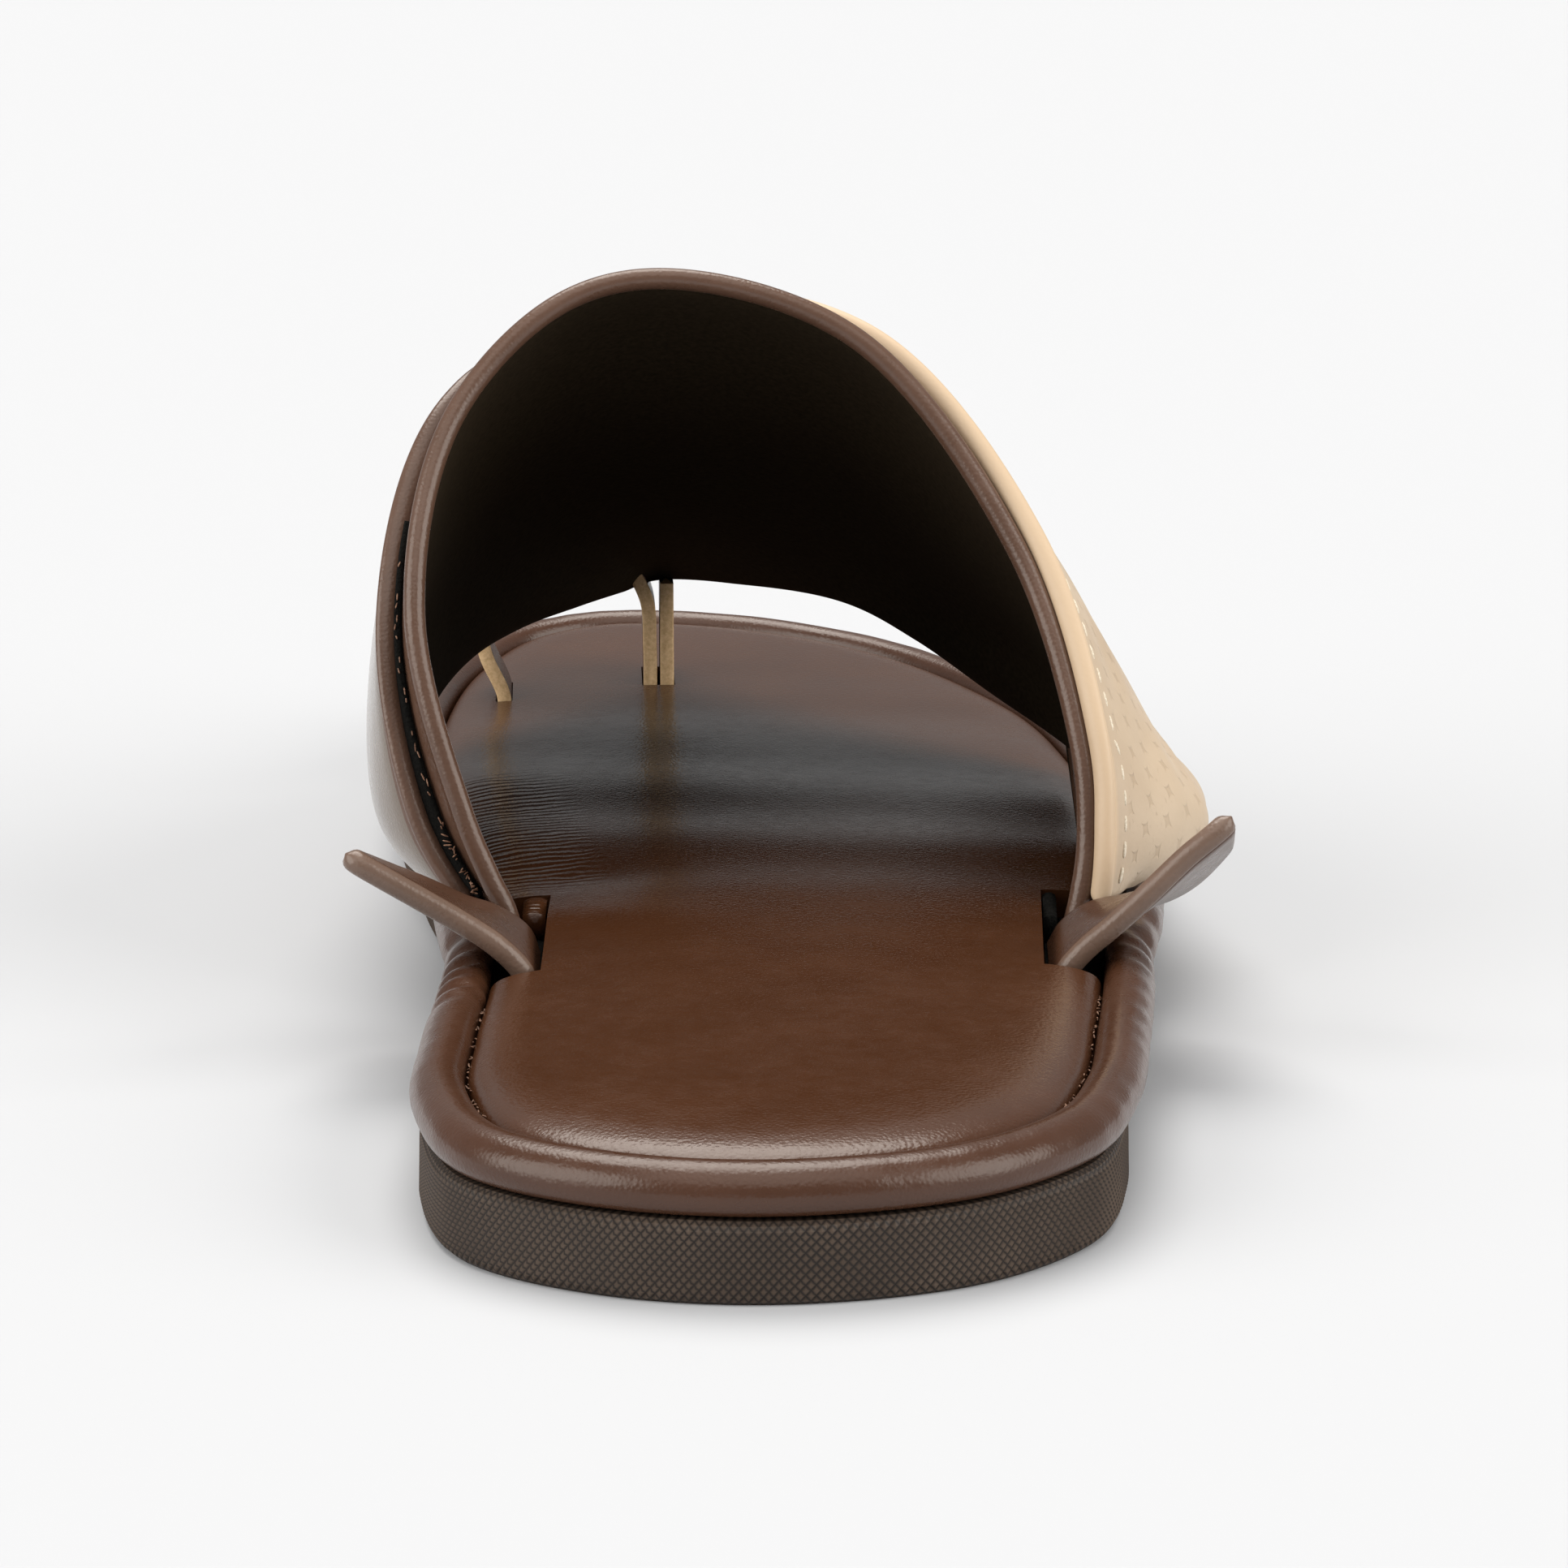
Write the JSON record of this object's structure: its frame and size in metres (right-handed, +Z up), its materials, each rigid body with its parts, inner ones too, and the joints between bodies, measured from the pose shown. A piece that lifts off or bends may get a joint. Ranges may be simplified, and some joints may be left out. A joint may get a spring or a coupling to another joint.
{
  "type": "arabic sandal",
  "caption": "Right-foot leather slip-on sandal: padded footbed with rolled edge on a low rubber sole, hollow instep band with two-tone outer bands, side wings, toe post and big-toe loop.",
  "frame": {"origin": "centre of the bounding box on the floor plane, under the middle of the sole", "axes": "+Y to the toes, +X to the outer side of the right foot, +Z up from the floor"},
  "size_m": [0.105, 0.2852, 0.0873],
  "materials": {
    "sole_rubber": "matt moulded rubber with a fine raised diamond side wall",
    "rim_leather": "smooth brown leather rolled over a padded edge",
    "insole_leather": "smooth brown leather over soft padding",
    "upper_leather": "brown leather with a dark lining and a rolled edge",
    "medial_leather": "smooth brown leather",
    "tan_leather": "pale tan embossed leather, stitched inside a rolled edge",
    "wing_leather": "two layers of brown leather with a folded edge"
  },
  "bodies": {
    "root": {"outsole": "sole_rubber", "footbed_rim": "rim_leather", "insole": "insole_leather", "upper": "upper_leather", "medial_panel": "medial_leather", "lateral_panel": "tan_leather", "medial_wing": "wing_leather", "lateral_wing": "wing_leather"}
  },
  "joints": []
}
